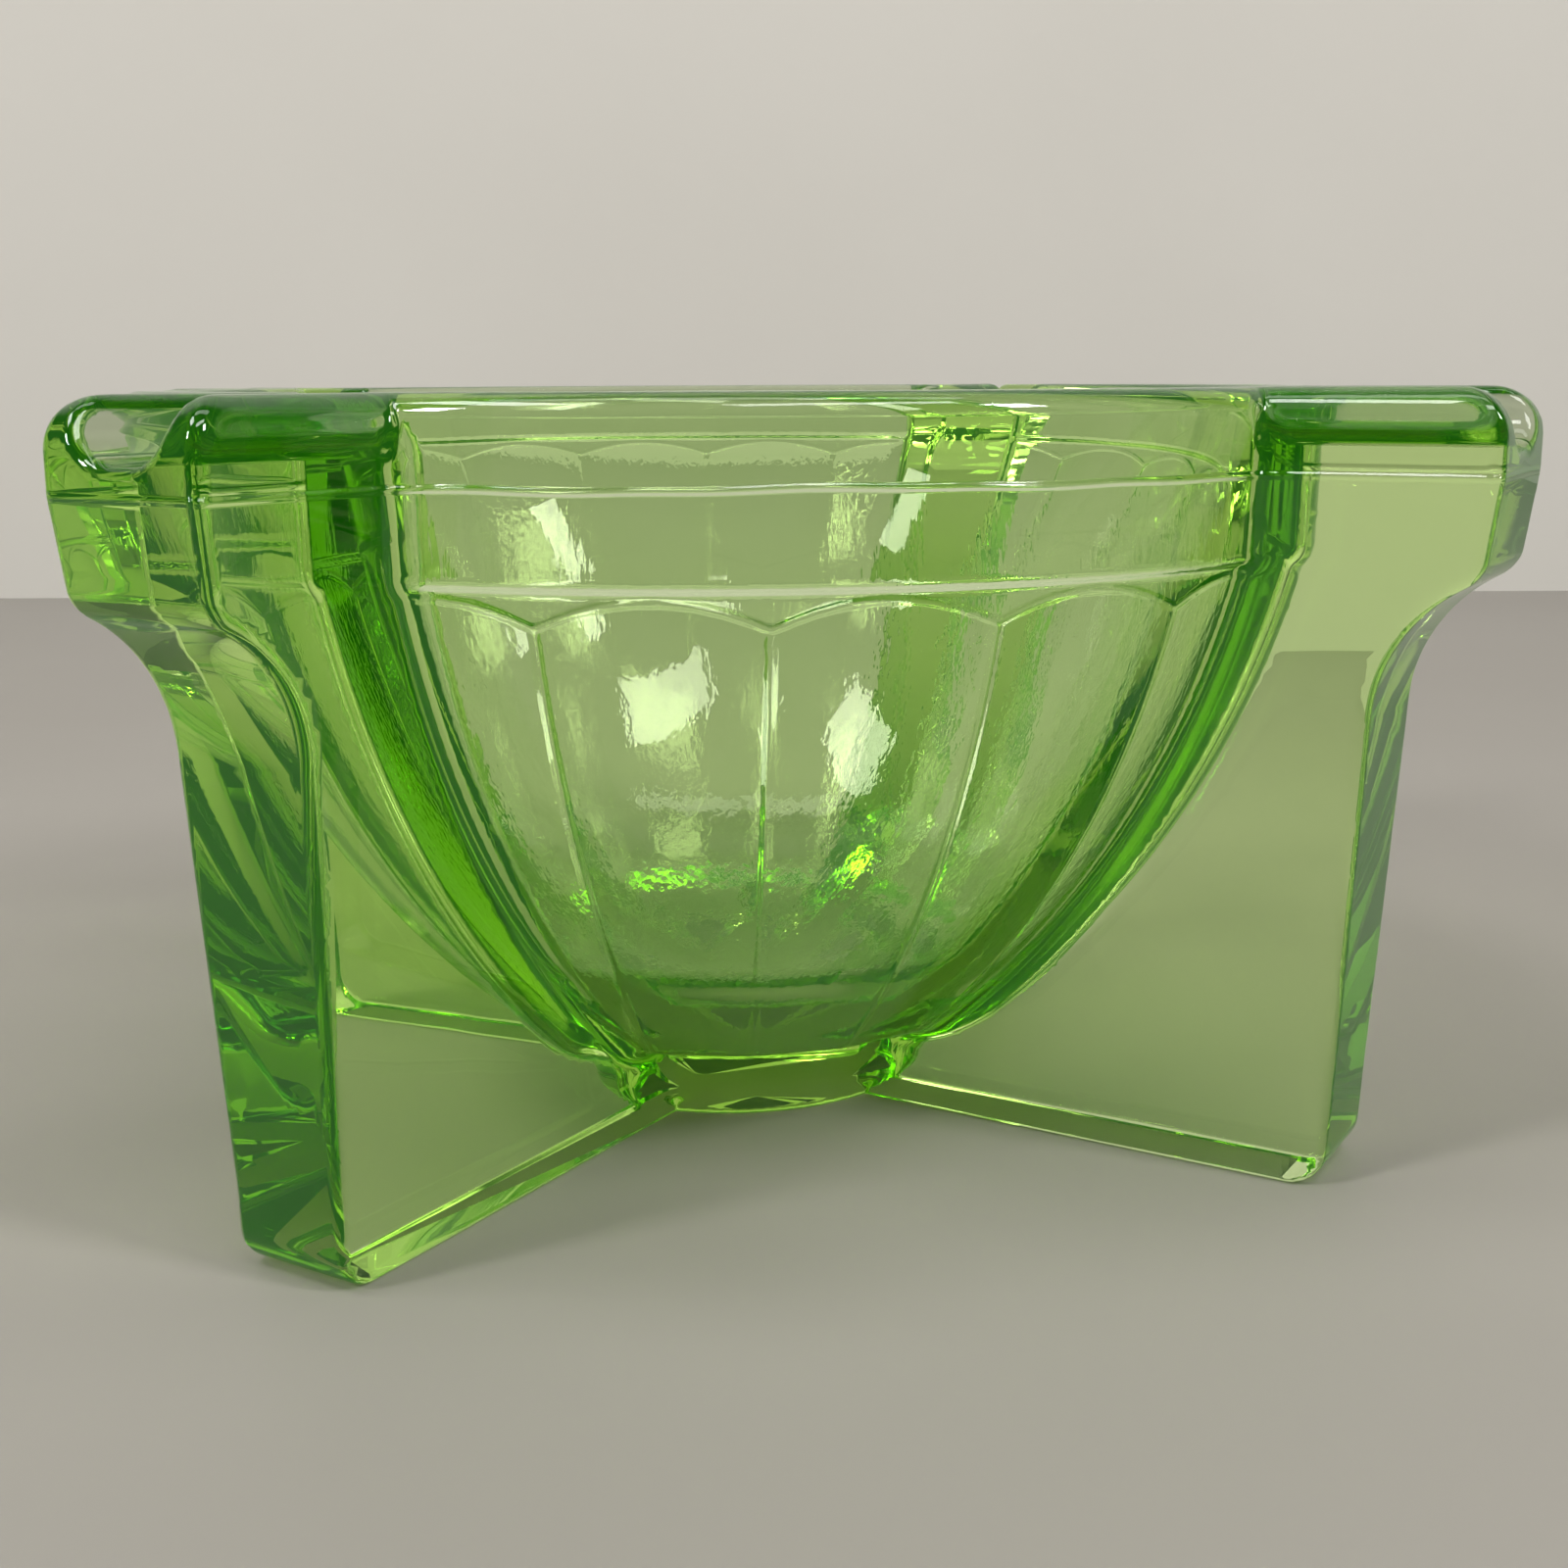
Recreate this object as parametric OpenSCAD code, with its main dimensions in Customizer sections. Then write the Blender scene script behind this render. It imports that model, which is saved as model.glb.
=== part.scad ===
// Pressed glass smoker's dish: a round bowl with panelled sides, carried by four radial fins.
// The top of each fin is a trough between two lips, which is a cigarette rest.
// It is one casting, divided here along its own edges: the bowl, the rim above the mould's
// parting line, the foot pad, the fins, and the rests on top of them. They meet face to face.
// Millimetres, +Z up. The origin is the centre of the underside. Fins point along +X, +Y, -X and -Y.

/* [Overall] */
// Width across the tops of two opposite fins
span = 114; // [104:1:140]
// Height from the table to the rim
height = 51.5; // [49:0.5:62]
// Distance from the rim down to the mould seam
seam_drop = 5.2; // [4.8:0.1:6.4]

/* [Bowl] */
// Outer diameter of the plain band round the rim
band_d = 86.4; // [72:0.2:96]
// Height of the plain band, from the rim down to the panels
band_h = 10.4; // [7.5:0.1:14]
// Step in from the band to the collar under it
collar_step = 1.1; // [0.6:0.1:2.4]
// Height of the collar at the middle of a panel
collar_h = 0.9; // [0.5:0.1:3]
// Slope of the band's lower edge, down to the collar
band_chamfer = 0.5; // [0.2:0.1:0.9]
// Number of flat panels round the bowl
panel_count = 20; // [16:4:28]
// Radius of the curve that a panel follows from top to bottom
panel_curve_r = 66; // [55:0.5:100]
// Distance from the axis to the foot of a panel
panel_foot_r = 20.3; // [18:0.1:23]
// Thickness of the glass behind the panels
wall_t = 5; // [3:0.1:7]
// Thickness of the glass at the centre of the floor
floor_t = 9; // [7:0.1:12]
// Rounding of the two edges of the rim
rim_round = 1.4; // [0.4:0.1:1.8]

/* [Foot pad] */
// Diameter of the round pad under the bowl, at the table
pad_d = 30; // [24:0.5:32]
// How far the pad widens from the table to the bowl, on each side
pad_draft = 1.2; // [0:0.1:1.6]
// Height of the pad
pad_h = 6.2; // [3:0.1:7]

/* [Fins] */
// Thickness of a fin at the mould seam
fin_top_t = 12; // [10:0.1:15]
// Thickness of a fin at the table
fin_foot_t = 8.4; // [6:0.1:10]
// Width across the feet of two opposite fins
foot_span = 96.4; // [90:0.2:98]
// Height of the narrowest point above the foot, where the shoulder starts
neck_z = 31; // [26:0.5:32]
// How far the fin widens from foot to neck, on each end, for draft
neck_draft = 1.6; // [0.4:0.1:2]
// Radius of the hollow under the shoulder
shoulder_r = 10; // [9:0.1:10.5]
// How far the shoulder stands in from the fin's top
shoulder_draft = 0.8; // [0.2:0.1:1.4]
// Rounding of the foot's outer corner
foot_round = 2.5; // [1:0.1:4]

/* [Rests] */
// Width of the trough
rest_w = 7; // [5.6:0.1:8]
// Depth of the trough below the rim
rest_depth = 3.6; // [2.8:0.1:4.4]
// Rounding along the bottom of the trough
rest_round = 1; // [0.4:0.1:1.4]
// Rounding of the lips' outer corners
lip_round = 3; // [1:0.1:4]

/* [Hidden] */
$fn = 96;
eps = 0.01;
top_r = span / 2;
band_r = band_d / 2;
seam_z = height - seam_drop;
band_z = height - band_h;
rest_z = height - rest_depth;
foot_r = foot_span / 2;
neck_r = foot_r + neck_draft;
shoulder_x = top_r - shoulder_draft;
overhang = shoulder_x - neck_r;
shoulder_z = neck_z + sqrt(pow(shoulder_r, 2) - pow(shoulder_r - min(overhang, shoulder_r), 2));
lip_t = (fin_top_t - rest_w) / 2;
lip_crest_r = lip_t / 2;
collar_r = band_r - collar_step;
panel_top = [collar_r, band_z - collar_h];
panel_foot = [panel_foot_r, pad_h];
panel_centre = arc_centre(panel_foot, panel_top, panel_curve_r);
cavity_curve_r = panel_curve_r - wall_t;
pad_top_r = pad_d / 2 + pad_draft;
reach = span;

// Centre of the circle of radius r through a and b that lies to the left of the way from a to b.
function arc_centre(a, b, r) =
    let (half = (b - a) / 2, run = norm(half), rise = sqrt(r * r - run * run))
    a + half + [-half[1], half[0]] / run * rise;

// Turns a child that is drawn in the X-Y plane up into the X-Z plane, centred on Y.
module upright(depth) {
    rotate([90, 0, 0]) translate([0, 0, -depth / 2]) linear_extrude(depth) children();
}

// One pair of opposite panels, as a slab with the panels' curve on its two ends.
module panel_pair() {
    upright(2 * reach) intersection() {
        translate(panel_centre) circle(panel_curve_r, $fn = 180);
        mirror([1, 0]) translate(panel_centre) circle(panel_curve_r, $fn = 180);
        translate([-reach, pad_h]) square([2 * reach, seam_z - pad_h]);
    }
}

// The outside of the bowl from the foot pad up to a height, before it is hollowed.
// The collar cuts off the tops of the panels, and a ridge lies in the plane of each fin.
module bowl_body(top_z) {
    intersection() {
        intersection_for (i = [0 : panel_count / 2 - 1])
            rotate((i + 0.5) * 360 / panel_count) panel_pair();
        cylinder(h = seam_z, r = collar_r);
    }
    rotate_extrude() polygon([
        [0, band_z - band_chamfer], [collar_r, band_z - band_chamfer],
        [band_r, band_z], [band_r, top_z], [0, top_z]
    ]);
}

// The hollow of the bowl. It follows the panels' curve at the thickness of the wall.
module cavity() {
    rotate_extrude($fn = 180) intersection() {
        translate(panel_centre) circle(cavity_curve_r, $fn = 180);
        translate([0, floor_t]) square([reach, height - floor_t + eps]);
    }
}

// The trough of a rest, seen along the fin, with its bottom corners rounded.
module trough_outline() {
    flat_w = rest_w - 2 * rest_round;
    translate([-rest_w / 2, rest_z + rest_round]) square([rest_w, rest_depth]);
    translate([-flat_w / 2, rest_z]) square([flat_w, rest_depth]);
    for (side = [-1, 1]) translate([side * flat_w / 2, rest_z + rest_round]) circle(rest_round);
}

// The trough of the rest on +X, from the axis out past the end of the fin.
module trough() {
    rotate([90, 0, 90]) linear_extrude(reach) trough_outline();
}

// The two lips of a rest and the glass under its trough, seen along the fin.
module rest_outline() {
    difference() {
        union() {
            translate([-fin_top_t / 2, seam_z])
                square([fin_top_t, height - seam_z - lip_crest_r]);
            for (side = [-1, 1])
                translate([side * (fin_top_t / 2 - lip_crest_r), height - lip_crest_r])
                    circle(lip_crest_r);
        }
        trough_outline();
    }
}

// The pad, a little wider at the bowl than at the table.
module foot_pad_shape() {
    cylinder(h = pad_h, r1 = pad_d / 2, r2 = pad_top_r);
}

// The side view of a fin from the table to the mould seam.
module fin_outline() {
    difference() {
        union() {
            polygon([
                [pad_d / 4, 0], [foot_r - foot_round, 0], [foot_r, foot_round], [neck_r, neck_z],
                [shoulder_x, shoulder_z], [top_r, seam_z], [pad_d / 4, seam_z]
            ]);
            translate([foot_r - foot_round, foot_round]) circle(foot_round);
        }
        translate([neck_r + shoulder_r, neck_z]) circle(shoulder_r);
        translate([neck_r + shoulder_r, neck_z]) square([reach, shoulder_r]);
    }
}

// The fin on +X, thicker at the seam than at the table, outside the bowl and the foot pad.
module fin() {
    difference() {
        intersection() {
            upright(fin_top_t) fin_outline();
            rotate([90, 0, 90]) linear_extrude(reach) polygon([
                [-fin_foot_t / 2, 0], [fin_foot_t / 2, 0],
                [fin_top_t / 2, seam_z], [-fin_top_t / 2, seam_z]
            ]);
        }
        bowl_body(seam_z + eps);
        foot_pad_shape();
        translate([0, 0, pad_h - eps]) cylinder(h = 2 * eps, r = pad_top_r + eps);
    }
}

// The side view of a rest, with the outer end of its lips rounded down.
module rest_side() {
    translate([0, seam_z]) square([top_r, height - seam_z - lip_round]);
    translate([0, seam_z]) square([top_r - lip_round, height - seam_z]);
    translate([top_r - lip_round, height - lip_round]) circle(lip_round);
}

// The cigarette rest on +X, outside the rim band.
module rest() {
    difference() {
        intersection() {
            rotate([90, 0, 90]) linear_extrude(reach) rest_outline();
            upright(fin_top_t) rest_side();
        }
        translate([0, 0, seam_z - eps]) cylinder(h = seam_drop + 2 * eps, r = band_r);
    }
}

module bowl() {
    color("darkseagreen") difference() {
        bowl_body(seam_z);
        cavity();
    }
}

module rim_band() {
    color("yellowgreen") difference() {
        rotate_extrude($fn = 180) union() {
            translate([0, seam_z]) square([band_r, seam_drop - rim_round]);
            translate([0, seam_z]) square([band_r - rim_round, seam_drop]);
            translate([band_r - rim_round, height - rim_round]) circle(rim_round);
        }
        cavity();
        for (turn = [0 : 90 : 270]) rotate(turn) trough();
    }
}

module foot_pad() {
    color("olivedrab") foot_pad_shape();
}

bowl();
rim_band();
foot_pad();
color("limegreen") fin();  // fin_right
color("limegreen") rotate(90) fin();  // fin_back
color("limegreen") rotate(180) fin();  // fin_left
color("limegreen") rotate(270) fin();  // fin_front
color("forestgreen") rest();  // rest_right
color("forestgreen") rotate(90) rest();  // rest_back
color("forestgreen") rotate(180) rest();  // rest_left
color("forestgreen") rotate(270) rest();  // rest_front
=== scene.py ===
"""Looks for a pressed yellow-green glass dish: a panelled bowl on four fins with a rest in each top.

The whole dish is one piece of glass, so it is one closed mesh. Its shape is a distance field in
millimetres, built from the CAD frame's sizes with the fillets and rounded edges of pressed glass,
and the field is meshed here. The stage, lights and camera are in metres.
"""

import math

import bmesh
import bpy
import numpy as np
from mathutils import Matrix, Vector


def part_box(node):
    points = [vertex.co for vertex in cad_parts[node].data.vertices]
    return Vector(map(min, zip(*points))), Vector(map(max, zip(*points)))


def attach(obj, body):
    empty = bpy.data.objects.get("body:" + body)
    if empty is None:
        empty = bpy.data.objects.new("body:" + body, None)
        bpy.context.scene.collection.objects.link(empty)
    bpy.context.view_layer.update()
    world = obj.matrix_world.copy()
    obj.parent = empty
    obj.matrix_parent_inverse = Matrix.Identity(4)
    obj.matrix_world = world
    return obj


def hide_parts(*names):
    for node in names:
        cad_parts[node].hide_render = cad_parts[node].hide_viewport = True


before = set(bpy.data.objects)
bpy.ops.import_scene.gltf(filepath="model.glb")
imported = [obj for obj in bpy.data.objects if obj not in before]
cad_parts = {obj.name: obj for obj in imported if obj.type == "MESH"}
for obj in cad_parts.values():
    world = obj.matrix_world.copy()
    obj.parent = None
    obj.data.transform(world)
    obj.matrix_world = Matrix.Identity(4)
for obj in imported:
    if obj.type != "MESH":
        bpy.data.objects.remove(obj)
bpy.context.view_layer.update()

MM = 0.001


# ---------------------------------------------------------------- sizes, in millimetres


def node_box(node):
    """A CAD node's lowest and highest corners, in millimetres."""
    low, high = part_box(node)
    return np.array(low) / MM, np.array(high) / MM


REST_LOW, REST_HIGH = node_box("rest_right")
PAD_TOP = node_box("foot_pad")[1]

TOP_Z = REST_HIGH[2]
SEAM_Z = REST_LOW[2]
TOP_R = REST_HIGH[0]
BAND_R = node_box("rim_band")[1][0]
PAD_H = PAD_TOP[2]
PAD_TOP_R = PAD_TOP[0]

# The least fillet, where an inner corner is meant to stay sharp
SHARP = 0.01

# Bowl. The band narrows by its draft over a drop below the seam.
BAND_Z = TOP_Z - 10.4
BAND_DRAFT = 0.15
BAND_DRAFT_DROP = 6
BAND_LOWER_EDGE = 0.35
BAND_FILLET = 0.3
COLLAR_R = BAND_R - 1.1
COLLAR_Z = BAND_Z - 0.9
COLLAR_SLOPE = math.radians(24)
COLLAR_SLOPE_DROP = 0.5
PANELS = 20
PANEL_STEP = 2 * math.pi / PANELS
PANEL_CURVE_R = 66
PANEL_FOOT_R = 20.3
PANEL_FOOT_EDGE = 0.8
PANEL_BULGE = 0.15
# The blends that soften a ridge, over EDGE_HALF to each side of it, and a panel's top edge
EDGE_HALF = 0.26
PANEL_RIDGE = 2 * math.sin(math.pi / PANELS) * EDGE_HALF
PANEL_TOP_EDGE = 0.06
# The fine raised lines along the ridges and the panels' top edges
BEAD_HEIGHT = 0.07
BEAD_HALF = 0.45
TOP_BEAD_HALF = 0.11
WALL = 5
FLOOR_Z = 9
FLOOR_CORNER = 7
RIM_OUTER_ROUND = 1.4
RIM_INNER_ROUND = 1.3
PAD_DRAFT = 1.2
PAD_EDGE = 0.7

# Fins. The fillet between fin and bowl fades out towards the table and the rim.
FIN_HALF_TOP = node_box("fin_right")[1][1]
FIN_HALF_FOOT = 4.2
FOOT_R = 48.2
NECK_Z = 31
NECK_DRAFT = 1.6
SHOULDER_R = 10
SHOULDER_DRAFT = 0.8
SHOULDER_EDGE = 1.0
FOOT_CORNER = 2.5
FIN_EDGE = 0.8
FIN_FOOT_EDGE = 0.45
LIP_END = 3.0
JUNCTION = 1.7
JUNCTION_FADE_FOOT = 2
JUNCTION_FADE_RIM = 3.5

# Rests
TROUGH_HALF = 3.4
TROUGH_Z = TOP_Z - 3.6
TROUGH_CORNER = 2.8
LIP_OUTER_EDGE = 1.7
LIP_INNER_EDGE = 0.75
TROUGH_MOUTH = 0.45

# Mould seam: a fine raised line all round
SEAM_HEIGHT = 0.13
SEAM_HALF = 0.3
SEAM_WAVE = 0.07


# ---------------------------------------------------------------- the shape as a distance field


def round_max(a, b, r):
    """Intersection whose edge is rounded to radius r."""
    return np.minimum(np.maximum(a, b), -r) + np.hypot(np.maximum(a + r, 0), np.maximum(b + r, 0))


def round_min(a, b, r):
    """Union whose inner corner is filled to radius r."""
    return np.maximum(np.minimum(a, b), r) - np.hypot(np.maximum(r - a, 0), np.maximum(r - b, 0))


def soft_max(a, b, k):
    """Intersection that is blended over a depth of k, for surfaces that meet at a shallow angle."""
    h = np.maximum(k - np.abs(a - b), 0) / k
    return np.maximum(a, b) + h * h * k / 4


def soft_min(a, b, k):
    """Union that is blended over a depth of k."""
    return -soft_max(-a, -b, k)


def ramp(low, high, t):
    """0 below low, 1 above high, smooth between."""
    s = np.clip((t - low) / (high - low), 0, 1)
    return s * s * (3 - 2 * s)


def arc_centre(a, b, r):
    """Centre of the circle of radius r through a and b, to the left of the way from a to b."""
    half = ((b[0] - a[0]) / 2, (b[1] - a[1]) / 2)
    run = math.hypot(*half)
    rise = math.sqrt(r * r - run * run)
    return a[0] + half[0] - half[1] / run * rise, a[1] + half[1] + half[0] / run * rise


PANEL_X, PANEL_Z = arc_centre((PANEL_FOOT_R, PAD_H), (COLLAR_R, COLLAR_Z), PANEL_CURVE_R)
SHOULDER_X = TOP_R - SHOULDER_DRAFT
NECK_R = FOOT_R + NECK_DRAFT
SHOULDER_Z = NECK_Z + math.sqrt(SHOULDER_R**2 - (SHOULDER_R - (SHOULDER_X - NECK_R)) ** 2)


def panels(x, y, z, radius):
    """The outside of the panelled bowl, with its ridges softened."""
    turn = np.arctan2(y, x) - PANEL_STEP / 2
    turn = np.abs(turn - PANEL_STEP * np.round(turn / PANEL_STEP))
    sides = []
    for away in (turn, PANEL_STEP - turn):
        out = radius * (PANEL_BULGE + (1 - PANEL_BULGE) * np.cos(away))
        sides.append(np.hypot(out - PANEL_X, z - PANEL_Z) - PANEL_CURVE_R)
    return soft_max(*sides, PANEL_RIDGE)


def bowl_outside(x, y, z, radius):
    """Panels, the collar over them, the plain band and the foot pad."""
    lower = soft_max(panels(x, y, z, radius), radius - COLLAR_R, PANEL_TOP_EDGE)
    lower = round_max(lower, PAD_H - z, PANEL_FOOT_EDGE)
    lower = np.maximum(lower, z - (SEAM_Z - 1))
    above = z - BAND_Z + COLLAR_SLOPE_DROP
    slope = (radius - COLLAR_R) * math.sin(COLLAR_SLOPE) - above * math.cos(COLLAR_SLOPE)
    drafted = BAND_DRAFT * np.clip((SEAM_Z - z) / BAND_DRAFT_DROP, 0, 1)
    side = radius - (BAND_R - SEAM_HEIGHT - drafted)
    band = round_max(side, slope, BAND_LOWER_EDGE)
    band = round_max(band, z - TOP_Z, RIM_OUTER_ROUND)
    bowl = soft_min(lower, band, BAND_FILLET)
    pad = round_max(radius - (PAD_TOP_R - PAD_DRAFT * (1 - z / PAD_H)), -z, PAD_EDGE)
    pad = np.maximum(pad, z - PAD_H - 3)
    return round_min(bowl, pad, SHARP + ramp(1, 3, z))


def cavity(z, radius):
    """The hollow that the plunger leaves: a bowl with a round bottom."""
    wall = np.hypot(radius - PANEL_X, z - PANEL_Z) - (PANEL_CURVE_R - WALL)
    return round_max(wall, FLOOR_Z - z, FLOOR_CORNER)


def fin_side_view(along, z):
    """A fin seen from its side: straight foot, hollow neck, shoulder and rounded lip end."""
    lower_line = along - (FOOT_R + NECK_DRAFT * z / NECK_Z)
    hollow = np.minimum(
        np.maximum(-lower_line, z - NECK_Z),
        np.hypot(along - NECK_R - SHOULDER_R, z - NECK_Z) - SHOULDER_R,
    )
    rise = np.clip((z - SHOULDER_Z) / (SEAM_Z - SHOULDER_Z), -1, 1)
    end = along - (SHOULDER_X - SEAM_HEIGHT + SHOULDER_DRAFT * rise)
    view = round_max(end, -hollow, SHOULDER_EDGE)
    view = round_max(view, -z, FOOT_CORNER)
    return round_max(view, z - TOP_Z, LIP_END)


def fins(along, across, z):
    """The fin, which is thinner towards the foot."""
    draft = (FIN_HALF_TOP - SEAM_HEIGHT - FIN_HALF_FOOT) * np.clip(z / SEAM_Z, 0, 1)
    side = across - (FIN_HALF_FOOT + draft)
    edge = FIN_FOOT_EDGE + (FIN_EDGE - FIN_FOOT_EDGE) * ramp(1, 6, z)
    on_lip = ramp(TROUGH_Z - 2, TROUGH_Z, z) * ramp(0, LIP_END, TOP_R - along)
    edge += (LIP_OUTER_EDGE - FIN_EDGE) * on_lip
    return round_max(fin_side_view(along, z), side, edge)


def glass(x, y, z):
    """Signed distance to the dish, in millimetres: below 0 in the glass."""
    x, y = np.abs(x), np.abs(y)
    radius = np.hypot(x, y)
    along, across = np.maximum(x, y), np.minimum(x, y)
    fade = ramp(0, JUNCTION_FADE_FOOT, z) * ramp(0, JUNCTION_FADE_RIM, TOP_Z - z)
    junction = SHARP + JUNCTION * fade
    body = round_min(fins(along, across, z), bowl_outside(x, y, z, radius), junction)
    trough = round_max(across - TROUGH_HALF, TROUGH_Z - z, TROUGH_CORNER)
    body = round_max(body, -trough, LIP_INNER_EDGE)
    rim = TROUGH_MOUTH + (RIM_INNER_ROUND - TROUGH_MOUTH) * ramp(TROUGH_Z + 1, TOP_Z, z)
    return round_max(body, -cavity(z, radius), rim)


def on_outside(x, y):
    """1 out at the band and the fins, and 0 in the hollow."""
    return ramp(BAND_R - 3.5, BAND_R - 2, np.hypot(x, y))


def skin_weight(x, y, z):
    """1 on the panels and the lower band, which kept the mould's skin, and 0 on the polished rest."""
    on_bowl = ramp(0.6, 0.3, np.abs(bowl_outside(np.abs(x), np.abs(y), z, np.hypot(x, y))))
    return on_bowl * ramp(PAD_H, PAD_H + 1, z) * ramp(SEAM_Z - 0.2, SEAM_Z - 0.9, z)


def rounded_line(distance, half):
    """The profile of a fine raised line: 1 on it, and 0 from half its width outwards."""
    return (1 - np.clip(distance / half, -1, 1) ** 2) ** 2


def beside_ridge(x, y):
    """Distance from the plane of the nearest ridge between two panels."""
    turn = np.arctan2(y, x)
    return np.hypot(x, y) * np.sin(turn - PANEL_STEP * np.round(turn / PANEL_STEP))


def past_panel_top(x, y, z):
    """Above 0 where the collar, and below 0 where a panel, is the bowl's outside."""
    radius = np.hypot(x, y)
    return radius - COLLAR_R - panels(x, y, z, radius)


def glass_with_lines(x, y, z):
    """The dish with the fine lines that stand up along the mould's seam and the panels' edges."""
    seam = SEAM_HEIGHT * on_outside(x, y) * rounded_line(z - SEAM_Z, SEAM_HALF)
    ridge = rounded_line(beside_ridge(x, y), BEAD_HALF) * ramp(COLLAR_Z - 1.2, COLLAR_Z - 2.4, z)
    top = rounded_line(past_panel_top(x, y, z), TOP_BEAD_HALF)
    top = top * ramp(COLLAR_Z - 3.4, COLLAR_Z - 2.8, z) * ramp(COLLAR_Z + 0.6, COLLAR_Z + 0.2, z)
    bead = BEAD_HEIGHT * skin_weight(x, y, z) * np.maximum(ridge, top)
    return glass(x, y, z) - seam - bead


def unit(vectors):
    """The vectors at a length of 1, one a row."""
    return vectors / np.linalg.norm(vectors, axis=1, keepdims=True)


def slopes(field, points):
    """A field's value at points, and its gradient there."""
    step = 0.01
    gradient = np.empty_like(points)
    for axis in range(3):
        shift = np.zeros(3)
        shift[axis] = step
        gradient[:, axis] = (field(*(points + shift).T) - field(*(points - shift).T)) / (2 * step)
    return field(*points.T), gradient


# ---------------------------------------------------------------- meshing the field

# Triangles that are kept before the loops of edges are cut, which add about 70,000
TRIANGLES = 116_000
# Where loops of edges are cut beside the seam, the panels' ridges and the panels' top edges
SEAM_LEVELS = (-0.32, -0.2, -0.1, 0, 0.1, 0.2, 0.32)
RIDGE_LEVELS = (-BEAD_HALF, -EDGE_HALF, -EDGE_HALF / 2, 0, EDGE_HALF / 2, EDGE_HALF, BEAD_HALF)
TOP_EDGE_LEVELS = (-TOP_BEAD_HALF, -PANEL_TOP_EDGE, 0, PANEL_TOP_EDGE, TOP_BEAD_HALF)
# How far from each line its loops may cut the faces
SEAM_REACH = 8
RIDGE_REACH = 2.5
TOP_EDGE_REACH = 3.5
# The four cells round a grid edge, in order
AROUND_EDGE = ((0, 0), (-1, 0), (-1, -1), (0, -1))


def grid_lines(*stretches):
    """Grid lines through (end, spacing) stretches that follow each other."""
    lines = [stretches[0][0]]
    for end, spacing in stretches[1:]:
        steps = max(1, round((end - lines[-1]) / spacing))
        lines += list(np.linspace(lines[-1], end, steps + 1)[1:])
    return np.array(lines)


def surface_net(xs, ys, zs):
    """One vertex in each grid cell that the surface crosses, and one face for each crossed grid edge."""
    field = glass(*np.meshgrid(xs, ys, zs, indexing="ij"))
    inside = field < 0
    lines = (xs, ys, zs)
    cells = tuple(len(line) - 1 for line in lines)
    total = np.zeros(cells + (3,))
    count = np.zeros(cells)
    crossings = []
    for axis in range(3):
        low = [slice(None)] * 3
        high = [slice(None)] * 3
        low[axis], high[axis] = slice(None, -1), slice(1, None)
        crossed = inside[tuple(low)] != inside[tuple(high)]
        at = np.argwhere(crossed)
        a, b = field[tuple(low)][crossed], field[tuple(high)][crossed]
        share = a / (a - b)
        point = np.stack([lines[i][at[:, i]] for i in range(3)], 1)
        point[:, axis] += share * np.diff(lines[axis])[at[:, axis]]
        leaving = inside[tuple(low)][crossed]
        crossings.append((at, leaving))
        u, v = (axis + 1) % 3, (axis + 2) % 3
        for du, dv in AROUND_EDGE:
            cell = at.copy()
            cell[:, u] += du
            cell[:, v] += dv
            kept = (cell >= 0).all(1) & (cell < np.array(cells)).all(1)
            flat = np.ravel_multi_index(cell[kept].T, cells)
            np.add.at(total.reshape(-1, 3), flat, point[kept])
            np.add.at(count.reshape(-1), flat, 1)
    used = count > 0
    number = np.full(cells, -1)
    number[used] = np.arange(used.sum())
    points = total[used] / count[used][:, None]
    faces = []
    for axis in range(3):
        at, leaving = crossings[axis]
        u, v = (axis + 1) % 3, (axis + 2) % 3
        kept = (at[:, u] > 0) & (at[:, v] > 0) & (at[:, u] < cells[u]) & (at[:, v] < cells[v])
        at, leaving = at[kept], leaving[kept]
        corners = []
        for du, dv in AROUND_EDGE:
            cell = at.copy()
            cell[:, u] += du
            cell[:, v] += dv
            corners.append(number[tuple(cell.T)])
        quads = np.stack(corners, 1)
        quads[~leaving] = quads[~leaving][:, ::-1]
        faces.append(quads)
    return points, np.concatenate(faces)


def onto_surface(field, points, fixed=()):
    """Moves points onto the surface along the gradient, keeping the coordinates marked fixed."""
    rounds, least_slope, longest_move = 4, 0.05, 0.3
    for _ in range(rounds):
        value, gradient = slopes(field, points)
        gradient[fixed] = 0
        size = np.maximum((gradient**2).sum(1, keepdims=True), least_slope)
        move = value[:, None] * gradient / size
        length = np.maximum(np.linalg.norm(move, axis=1, keepdims=True), 1e-9)
        points = points - move * np.minimum(1, longest_move / length)
    return points


def dish_quadrant():
    """The quarter of the dish with x and y above 0, with its cut edges exactly on x = 0 and y = 0."""
    near, mid, fine = 0.42, 0.6, 0.35
    half = near / 2
    side = grid_lines((-half, 0), (half, near), (8.4, near), (54, mid), (TOP_R + 0.7, fine))
    up = grid_lines(
        (-0.63, 0), (3, near), (BAND_Z - 2.5, mid), (BAND_Z + 1, fine), (SEAM_Z, near),
        (TOP_Z + 0.5, fine),
    )
    points, faces = surface_net(side, side, up)
    fixed = np.zeros(points.shape, bool)
    fixed[:, :2] = np.abs(points[:, :2]) < 0.3 * half
    points[fixed] = 0
    return onto_surface(glass, points, fixed), faces


def mirrored(points, faces, axis):
    """The mesh and its mirror image, joined on the plane where axis is 0."""
    image = points.copy()
    image[:, axis] *= -1
    both = np.concatenate([points, image])
    turned = faces[:, ::-1] + len(points)
    own = np.arange(len(both))
    shared = np.flatnonzero(points[:, axis] == 0)
    own[shared + len(points)] = shared
    kept, number = np.unique(own, return_inverse=True)
    return both[kept], number[np.concatenate([faces, turned])]


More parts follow.
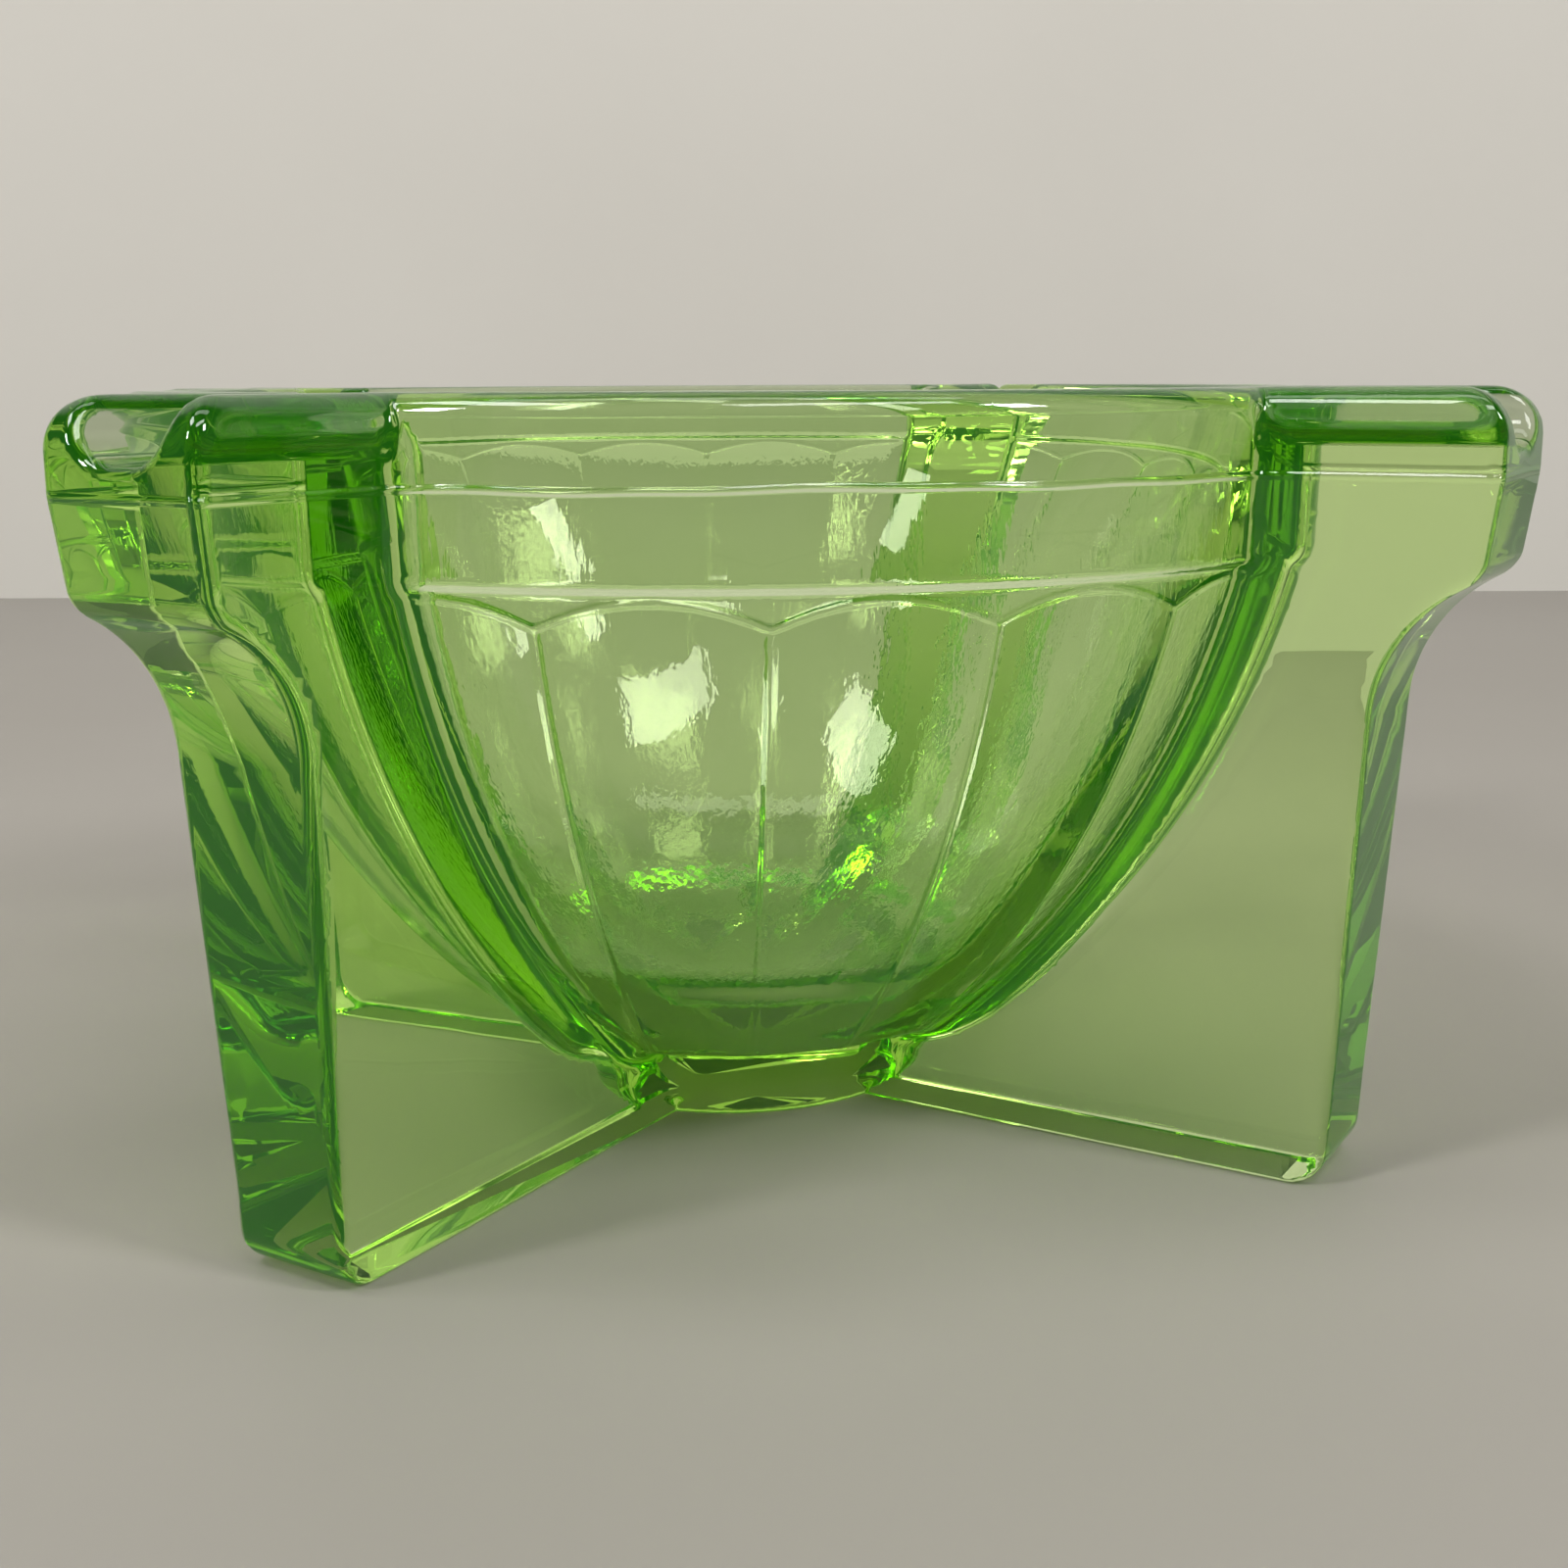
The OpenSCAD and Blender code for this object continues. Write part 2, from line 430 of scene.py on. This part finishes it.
def new_mesh(name, points, faces):
    """A mesh of quads."""
    mesh = bpy.data.meshes.new(name)
    mesh.vertices.add(len(points))
    mesh.vertices.foreach_set("co", points.astype(np.float32).ravel())
    mesh.loops.add(faces.size)
    mesh.loops.foreach_set("vertex_index", faces.astype(np.int32).ravel())
    mesh.polygons.add(len(faces))
    mesh.polygons.foreach_set("loop_start", np.arange(0, faces.size, 4, dtype=np.int32))
    mesh.update(calc_edges=True)
    mesh.validate()
    return mesh


def thinned(thing, triangles):
    """Joins small flat faces until about that many triangles are left."""
    modifier = thing.modifiers.new("thin", "DECIMATE")
    modifier.ratio = triangles / (2 * len(thing.data.polygons))
    held = bpy.context.evaluated_depsgraph_get()
    mesh = bpy.data.meshes.new_from_object(thing.evaluated_get(held))
    thing.modifiers.clear()
    thing.data = mesh


def mesh_points(mesh):
    """A mesh's vertices, one row each."""
    points = np.empty(len(mesh.vertices) * 3, np.float32)
    mesh.vertices.foreach_get("co", points)
    return points.reshape(-1, 3).astype(float)


def add_loops(mesh, measured, levels, chosen):
    """Cuts the chosen vertices' faces along the lines on which a measured value has given levels."""
    cut = bmesh.new()
    cut.from_mesh(mesh)
    keep = cut.verts.layers.float_vector.new("place")
    for vert, value in zip(cut.verts, measured):
        vert[keep] = vert.co
        vert.co = (vert.co.x, vert.co.y, value)
    cut.verts.ensure_lookup_table()
    faces = [face for face in cut.faces if all(chosen[vert.index] for vert in face.verts)]
    for level in levels:
        faces = [face for face in faces if face.is_valid]
        parts = set(faces)
        for face in faces:
            parts.update(face.verts, face.edges)
        made = bmesh.ops.bisect_plane(
            cut, geom=list(parts), dist=1e-5, plane_co=(0, 0, level), plane_no=(0, 0, 1)
        )
        faces = [part for part in made["geom"] if isinstance(part, bmesh.types.BMFace)]
    for vert in cut.verts:
        vert.co = vert[keep]
    bmesh.ops.triangulate(cut, faces=cut.faces[:])
    cut.verts.layers.float_vector.remove(keep)
    cut.to_mesh(mesh)
    cut.free()


def seam_wave(points):
    """How far the mould seam wanders up and down at each point, in millimetres."""
    turn = np.arctan2(points[:, 1], points[:, 0])
    wave = np.sin(7 * turn + 1.1) + 0.7 * np.sin(13 * turn + 0.4) + 0.5 * np.sin(29 * turn + 2.3)
    near = np.exp(-(((points[:, 2] - SEAM_Z) / 0.9) ** 2))
    return SEAM_WAVE * wave * near * on_outside(points[:, 0], points[:, 1])


def corner_normals(mesh, points):
    """The surface's normal for each corner of each triangle.

    A long triangle that starts on a tight edge is flat over nearly all its length, so its corner there
    takes the normal found a little way inside it.
    """
    long_enough, share_inside, same_way = 0.9, 0.35, math.cos(math.radians(3))
    corners = np.empty(len(mesh.loops), np.int32)
    mesh.loops.foreach_get("vertex_index", corners)
    corners = corners.reshape(-1, 3)
    at_point = unit(slopes(glass_with_lines, points)[1])
    places = points[corners]
    long_side = np.linalg.norm(places - np.roll(places, 1, 1), axis=2).max(1)
    inner = places + share_inside * (places.mean(1, keepdims=True) - places)
    inside = unit(slopes(glass_with_lines, inner.reshape(-1, 3))[1]).reshape(places.shape)
    own = at_point[corners]
    tight = (own * inside).sum(2) < same_way
    chosen = tight & (long_side > long_enough)[:, None]
    return np.where(chosen[..., None], inside, own).reshape(-1, 3)


def build_dish():
    """The glass as one closed, smooth mesh."""
    points, faces = dish_quadrant()
    points, faces = mirrored(points, faces, 0)
    points, faces = mirrored(points, faces, 1)
    dish = bpy.data.objects.new("glass_dish", new_mesh("glass_dish", points, faces))
    bpy.context.scene.collection.objects.link(dish)
    thinned(dish, TRIANGLES)
    mesh = dish.data
    x, y, z = mesh_points(mesh).T
    add_loops(mesh, z - SEAM_Z, SEAM_LEVELS, np.abs(z - SEAM_Z) < SEAM_REACH)
    x, y, z = mesh_points(mesh).T
    beside = beside_ridge(x, y)
    on_panel = (skin_weight(x, y, z) > 0.5) & (z < COLLAR_Z)
    add_loops(mesh, beside, RIDGE_LEVELS, on_panel & (np.abs(beside) < RIDGE_REACH))
    x, y, z = mesh_points(mesh).T
    near_top = (skin_weight(x, y, z) > 0.5) & (np.abs(z - COLLAR_Z + 1) < TOP_EDGE_REACH)
    add_loops(mesh, past_panel_top(x, y, z), TOP_EDGE_LEVELS, near_top)
    points = onto_surface(glass_with_lines, mesh_points(mesh))
    normals = corner_normals(mesh, points)
    skin = mesh.attributes.new("skin", "FLOAT", "POINT")
    skin.data.foreach_set("value", skin_weight(*points.T).astype(np.float32))
    points[:, 2] += seam_wave(points)
    mesh.vertices.foreach_set("co", (points * MM).astype(np.float32).ravel())
    mesh.polygons.foreach_set("use_smooth", np.ones(len(mesh.polygons), bool))
    mesh.normals_split_custom_set(normals)
    mesh.update()
    return dish


# ---------------------------------------------------------------- materials


class Nodes:
    """A material's node tree, with short calls to add and join nodes."""

    def __init__(self, name):
        self.material = bpy.data.materials.new(name)
        self.material.use_nodes = True
        self.tree = self.material.node_tree
        self.tree.nodes.clear()

    def add(self, kind, **values):
        """A node, with its sockets set or joined by name."""
        node = self.tree.nodes.new("ShaderNode" + kind)
        for key, value in values.items():
            if hasattr(node, key):
                setattr(node, key, value)
                continue
            socket = node.inputs[key.replace("_", " ")]
            if isinstance(value, bpy.types.NodeSocket):
                self.tree.links.new(value, socket)
            else:
                socket.default_value = value
        return node

    def math(self, operation, *values):
        """A math node's result, from sockets or numbers."""
        node = self.tree.nodes.new("ShaderNodeMath")
        node.operation = operation
        for socket, value in zip(node.inputs, values):
            if isinstance(value, bpy.types.NodeSocket):
                self.tree.links.new(value, socket)
            else:
                socket.default_value = value
        return node.outputs[0]


IOR = 1.51
# Painted glow: a faint green emission that brightens the glass and deepens its green where the lamps
# bring too little light
PAINTED_GLOW = 0.018
PAINTED_GLOW_COLOUR = (0.12, 1.0, 0.03, 1)
# Red and blue are absorbed more than green. What is absorbed in a metre is density times (1 - colour).
DEPTH_COLOUR = (0.71, 0.90, 0.24, 1)
DEPTH_DENSITY = 100.0
BUMP_DEPTH = 0.00006


def glass_material():
    """Clear yellow-green glass: the mould's fine skin on the panels, and a few pits everywhere."""
    n = Nodes("green_glass")
    place = n.add("TexCoord").outputs["Object"]
    stretched = n.add("Mapping", Vector=place, Scale=(1, 1, 0.3)).outputs[0]
    grain = n.add("TexNoise", Vector=stretched, Scale=1900.0, Detail=2.0).outputs["Fac"]
    kept = n.add("Attribute", attribute_name="skin").outputs["Fac"]
    skin = n.math("MULTIPLY", grain, kept)
    ripple = n.add("TexNoise", Vector=place, Scale=140.0, Detail=1.0).outputs["Fac"]
    cell = n.add("TexVoronoi", Vector=place, Scale=420.0)
    pit = n.math("LESS_THAN", cell.outputs["Distance"], 0.07)
    lot = n.add("SeparateColor", Color=cell.outputs["Color"]).outputs[0]
    chosen = n.math("GREATER_THAN", lot, 0.8)
    pits = n.math("MULTIPLY", pit, chosen)
    height = n.math("MULTIPLY_ADD", ripple, 0.5, n.math("SUBTRACT", skin, pits))
    bump = n.add("Bump", Height=height, Strength=0.4, Distance=BUMP_DEPTH)
    shader = n.add("BsdfPrincipled", Base_Color=(1.0, 1.0, 1.0, 1), Roughness=0.0, IOR=IOR)
    shader.inputs["Transmission Weight"].default_value = 1.0
    # Painted glow: the glass emits a faint green light of its own, which brightens it
    shader.inputs["Emission Color"].default_value = PAINTED_GLOW_COLOUR
    shader.inputs["Emission Strength"].default_value = PAINTED_GLOW
    n.tree.links.new(bump.outputs[0], shader.inputs["Normal"])
    depth = n.add("VolumeAbsorption", Color=DEPTH_COLOUR, Density=DEPTH_DENSITY)
    out = n.add("OutputMaterial")
    n.tree.links.new(shader.outputs[0], out.inputs["Surface"])
    n.tree.links.new(depth.outputs[0], out.inputs["Volume"])
    return n.material


def matt_material(name, dark, light):
    """A plain matt surface whose colour drifts faintly between two tones."""
    n = Nodes(name)
    place = n.add("TexCoord").outputs["Object"]
    mottle = n.add("TexNoise", Vector=place, Scale=9.0, Detail=5.0)
    colour = n.add("Mix", data_type="RGBA")
    n.tree.links.new(mottle.outputs["Fac"], colour.inputs["Factor"])
    first, second = colour.inputs[6], colour.inputs[7]
    first.default_value = (*dark, 1)
    second.default_value = (*light, 1)
    shader = n.add("BsdfPrincipled", Roughness=0.6, Base_Color=colour.outputs[2])
    out = n.add("OutputMaterial")
    n.tree.links.new(shader.outputs[0], out.inputs["Surface"])
    return n.material


# ---------------------------------------------------------------- stage, lights and camera

CAMERA_PLACE = Vector((0.0804, -0.1241, 0.0522))
CAMERA_HEADING = math.radians(31.37)
CAMERA_DOWN = math.radians(11.79)
CAMERA_ROLL = math.radians(-0.28)
CAMERA_LENS = 44.73
WALL_DISTANCE = 0.33
ROOM_COLOUR = (0.70, 0.69, 0.67, 1)
ROOM_SIDES = 0.10
ROOM_BEHIND = 0.08
FLOOR_TONES = ((0.27, 0.25, 0.22), (0.31, 0.29, 0.26))
WALL_TONES = ((0.60, 0.575, 0.52), (0.66, 0.635, 0.58))
BOUNCES = 32


def build_camera():
    """The viewpoint: close, a little above the rim, between two fins."""
    camera = bpy.data.cameras.new("camera")
    camera.lens = CAMERA_LENS
    camera.sensor_width = 36
    camera.clip_start = 0.005
    thing = bpy.data.objects.new("camera", camera)
    bpy.context.scene.collection.objects.link(thing)
    turn = Matrix.Rotation(CAMERA_HEADING, 4, "Z") @ Matrix.Rotation(math.pi / 2 - CAMERA_DOWN, 4, "X")
    thing.matrix_world = Matrix.Translation(CAMERA_PLACE) @ turn @ Matrix.Rotation(CAMERA_ROLL, 4, "Z")
    bpy.context.scene.camera = thing


def stage_sheet(name, corners, material):
    """One flat rectangle of the stage, turned to the camera's heading."""
    mesh = bpy.data.meshes.new(name)
    mesh.from_pydata(corners, [], [(0, 1, 2, 3)])
    sheet = bpy.data.objects.new(name, mesh)
    sheet.data.materials.append(material)
    sheet.rotation_euler.z = CAMERA_HEADING
    bpy.context.scene.collection.objects.link(sheet)


def build_stage():
    """A pale floor, and a paler wall behind the dish."""
    side, front, back, top = 3.0, -2.5, WALL_DISTANCE, 1.6
    floor = [(-side, front, 0), (side, front, 0), (side, back, 0), (-side, back, 0)]
    wall = [(-side, back, 0), (side, back, 0), (side, back, top), (-side, back, top)]
    stage_sheet("floor", floor, matt_material("pale_floor", *FLOOR_TONES))
    stage_sheet("wall", wall, matt_material("pale_wall", *WALL_TONES))


def build_world():
    """A dim room, a little lighter to the left and right of the camera than elsewhere."""
    world = bpy.data.worlds.new("studio")
    world.use_nodes = True
    tree = world.node_tree
    right = (math.cos(CAMERA_HEADING), math.sin(CAMERA_HEADING), 0)
    toward = tree.nodes.new("ShaderNodeTexCoord")
    sideways = tree.nodes.new("ShaderNodeVectorMath")
    sideways.operation = "DOT_PRODUCT"
    sideways.inputs[1].default_value = right
    tree.links.new(toward.outputs["Generated"], sideways.inputs[0])
    square = tree.nodes.new("ShaderNodeMath")
    square.operation = "MULTIPLY"
    strength = tree.nodes.new("ShaderNodeMath")
    strength.operation = "MULTIPLY_ADD"
    tree.links.new(sideways.outputs["Value"], square.inputs[0])
    tree.links.new(sideways.outputs["Value"], square.inputs[1])
    tree.links.new(square.outputs[0], strength.inputs[0])
    strength.inputs[1].default_value = ROOM_SIDES
    strength.inputs[2].default_value = ROOM_BEHIND
    background = tree.nodes["Background"]
    background.inputs["Color"].default_value = ROOM_COLOUR
    tree.links.new(strength.outputs[0], background.inputs["Strength"])
    bpy.context.scene.world = world


def soft_light(name, place, size, power, target=(0, 0, 0.026)):
    """An area light and what it is turned to, both placed as the camera sees them (right, away, up)."""
    light = bpy.data.lights.new(name, "AREA")
    light.shape = "RECTANGLE"
    light.size, light.size_y = size
    light.energy = power
    thing = bpy.data.objects.new(name, light)
    bpy.context.scene.collection.objects.link(thing)
    turn = Matrix.Rotation(CAMERA_HEADING, 3, "Z")
    aim = (turn @ (Vector(target) - Vector(place))).to_track_quat("-Z", "Y")
    thing.matrix_world = Matrix.Translation(turn @ Vector(place)) @ aim.to_matrix().to_4x4()


build_camera()
build_stage()
build_world()
soft_light("window_left", (-0.74, -0.50, 0.62), (0.13, 0.22), 4.2)
soft_light("window_right", (0.69, -0.40, 0.64), (0.13, 0.22), 4.2)
soft_light("overhead_right", (0.26, -0.44, 0.84), (0.55, 0.16), 2.6)
soft_light("overhead_left", (-0.46, -0.22, 0.84), (0.40, 0.20), 3.0)
soft_light("wall_wash", (0.0, 0.0, 0.9), (0.8, 0.2), 1.5, (0.0, WALL_DISTANCE, 0.35))

dish = build_dish()
dish.data.materials.append(glass_material())
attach(dish, "root")
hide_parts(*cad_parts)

bpy.context.scene.cycles.max_bounces = BOUNCES
bpy.context.scene.cycles.transmission_bounces = BOUNCES
bpy.context.scene.view_settings.view_transform = "Standard"
